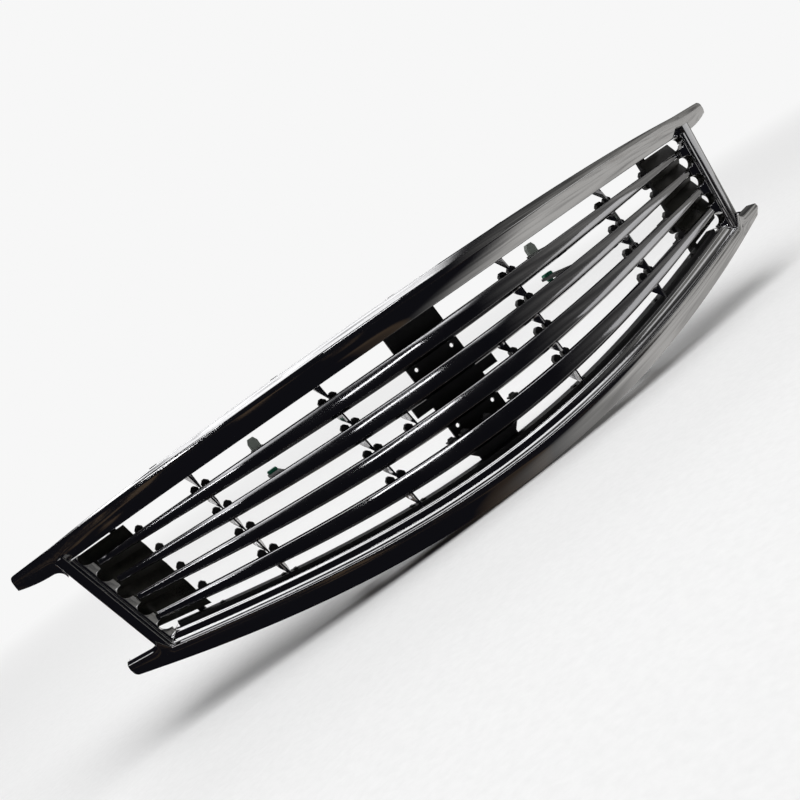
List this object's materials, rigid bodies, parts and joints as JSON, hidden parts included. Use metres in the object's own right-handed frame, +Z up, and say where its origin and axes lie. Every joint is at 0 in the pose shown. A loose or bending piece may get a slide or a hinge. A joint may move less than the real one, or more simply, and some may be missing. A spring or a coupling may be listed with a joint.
{
  "type": "front grille",
  "caption": "Wide bowed vehicle front grille: plated surround with four outward horns, horizontal slats with wedge gussets, end bezels and a black rear carrier.",
  "frame": {"origin": "midway between the two inner upper tab holes, on the tabs' upper face", "axes": "+Z up, -Y towards the front of the vehicle, +X to the right of someone facing the grille"},
  "size_m": [0.8914, 0.1687, 0.2185],
  "materials": {
    "surround_chrome": "bright plated",
    "dark_chrome": "smoked plated",
    "bezel_chrome": "bright plated",
    "carrier_black": "moulded, fine grain",
    "panel_black": "satin moulded",
    "bracket_black": "moulded",
    "green_nylon": "translucent nylon",
    "grey_nylon": "natural nylon",
    "zinc_steel": "zinc plated",
    "black_screw": "black oxide",
    "foam": "closed-cell foam",
    "buffer_rubber": "moulded"
  },
  "bodies": {
    "root": {"surround": "surround_chrome", "upper_trim_rail": "dark_chrome", "lower_cove_trim": "bezel_chrome", "end_bezel_left": "bezel_chrome", "end_bezel_right": "bezel_chrome", "end_panel_left": "panel_black", "end_panel_right": "panel_black", "upper_push_clip_left": "grey_nylon", "upper_push_clip_right": "grey_nylon", "lower_push_clip_left": "green_nylon", "lower_push_clip_right": "green_nylon", "upper_carrier_beam": "carrier_black", "lower_carrier_beam": "carrier_black", "slat_rib_1": "carrier_black", "slat_rib_2": "carrier_black", "slat_rib_3": "carrier_black", "slat_rib_4": "carrier_black", "end_post_left": "carrier_black", "end_post_right": "carrier_black", "badge_bracket": "bracket_black", "badge_clips": "bracket_black", "tab_sleeves": "zinc_steel", "carrier_screws": "black_screw", "seal_strip": "foam", "rubber_buffers": "buffer_rubber", "trim_springs": "zinc_steel", "slat_1": "dark_chrome", "slat_2": "dark_chrome", "slat_3": "dark_chrome", "slat_4": "dark_chrome"}
  },
  "joints": []
}
